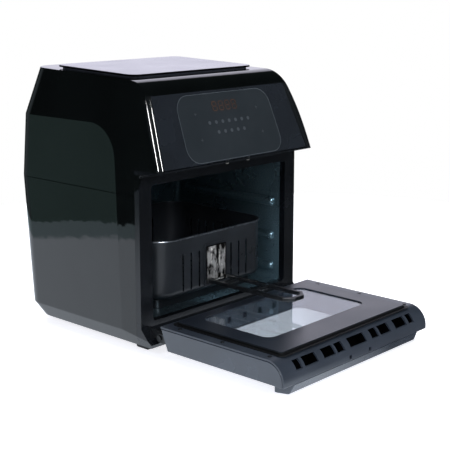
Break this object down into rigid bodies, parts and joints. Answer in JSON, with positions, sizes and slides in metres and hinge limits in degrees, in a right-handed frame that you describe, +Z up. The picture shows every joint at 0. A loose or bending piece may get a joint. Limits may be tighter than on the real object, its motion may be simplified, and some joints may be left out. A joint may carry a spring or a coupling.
{
  "type": "air fryer",
  "caption": "Countertop air fryer oven with a drop-down glazed door, slide-out basket with folding handle, drip tray, fan and sloped touch panel.",
  "frame": {"origin": "middle of the footprint on the surface it stands on, with the door lying open", "axes": "+X to the right seen from the front, the front faces -Y, +Z up"},
  "size_m": [0.3266, 0.5134, 0.3758],
  "materials": {
    "shell_black": "high gloss",
    "frame_slate": "fine satin",
    "panel_slate": "satin",
    "screen_film": "satin film over touch keys",
    "base_grey": "moulded",
    "foot_rubber": "moulded",
    "liner_enamel": "satin enamel",
    "bright_steel": "satin",
    "element_steel": "oxidised",
    "chrome_wire": "polished",
    "fan_alloy": "stamped",
    "motor_steel": "satin",
    "board_green": "circuit board laminate",
    "component_dark": "moulded",
    "door_skin": "satin",
    "door_plug": "satin",
    "gasket_black": "silicone",
    "clear_glass": "clear",
    "duct_grey": "satin",
    "basket_coat": "non-stick satin",
    "tray_coat": "non-stick satin",
    "handle_black": "satin",
    "roof_slate": "satin",
    "catch_nylon": "moulded"
  },
  "bodies": {
    "cabinet": {"lower_shell": "shell_black", "upper_shell": "shell_black", "base_pan": "base_grey", "rubber_feet": "foot_rubber", "front_frame": "frame_slate", "cord_gland": "base_grey", "rear_vent": "base_grey", "roof_plate": "roof_slate", "control_panel": "panel_slate", "touch_screen": "screen_film", "display_board": "board_green", "display_module": "component_dark", "interlock_switch": "component_dark", "catch_keeper": "catch_nylon", "cavity_liner": "liner_enamel", "fan_housing": "bright_steel", "heating_element": "element_steel", "element_clips": "bright_steel", "heater_guard": "chrome_wire", "motor_housing": "motor_steel", "motor_bracket": "bright_steel", "board_tray": "bright_steel", "power_board": "board_green", "board_components": "component_dark", "thermostat": "bright_steel", "hinge_brackets": "bright_steel", "hinge_pins": "bright_steel", "base_screws": "bright_steel"},
    "fan_rotor": {"motor_shaft": "bright_steel", "convection_fan": "fan_alloy", "cooling_fan": "fan_alloy", "fan_nut": "bright_steel", "motor_rotor": "motor_steel"},
    "door": {"door_outer_shell": "door_skin", "door_inner_frame": "frame_slate", "door_liner": "door_plug", "door_gasket": "gasket_black", "inner_glass": "clear_glass", "outer_glass": "clear_glass", "door_duct": "duct_grey", "door_handle": "door_skin", "handle_screws": "bright_steel", "frame_screws": "bright_steel", "hinge_leaves": "bright_steel"},
    "food_basket": {"basket": "basket_coat", "handle_bracket": "chrome_wire", "bracket_rivets": "chrome_wire", "handle_pin": "chrome_wire"},
    "folding_handle": {"basket_handle": "handle_black"},
    "crumb_tray": {"drip_tray": "tray_coat"},
    "catch_pawl": {"door_catch": "catch_nylon"},
    "switch_plunger": {"interlock_plunger": "catch_nylon"}
  },
  "joints": [
    {"name": "door_hinge", "type": "hinge", "parent": "cabinet", "child": "door", "pos_m": [0, -0.035, 0.026], "axis": [1, 0, 0], "range_deg": [-90, 0]},
    {"name": "basket_slide", "type": "slide", "parent": "cabinet", "child": "food_basket", "axis": [0, -1, 0], "range_m": [0, 0.2]},
    {"name": "handle_fold", "type": "hinge", "parent": "food_basket", "child": "folding_handle", "pos_m": [0, -0.0046, 0.073], "axis": [1, 0, 0], "range_deg": [-90, 0]},
    {"name": "tray_slide", "type": "slide", "parent": "cabinet", "child": "crumb_tray", "axis": [0, -1, 0], "range_m": [0, 0.055]},
    {"name": "fan_spin", "type": "hinge", "parent": "cabinet", "child": "fan_rotor", "pos_m": [0, 0.105, 0.26], "axis": [0, 0, 1], "continuous": true},
    {"name": "catch_lift", "type": "slide", "parent": "cabinet", "child": "catch_pawl", "axis": [0, 0, 1], "range_m": [0, 0.001], "stiffness_N_per_m": 800},
    {"name": "plunger_lift", "type": "slide", "parent": "cabinet", "child": "switch_plunger", "axis": [0, 0, 1], "range_m": [0, 0.001], "stiffness_N_per_m": 600}
  ],
  "couplings": [
    {"joint": "handle_fold", "follows": "door_hinge", "ratio": 1}
  ]
}
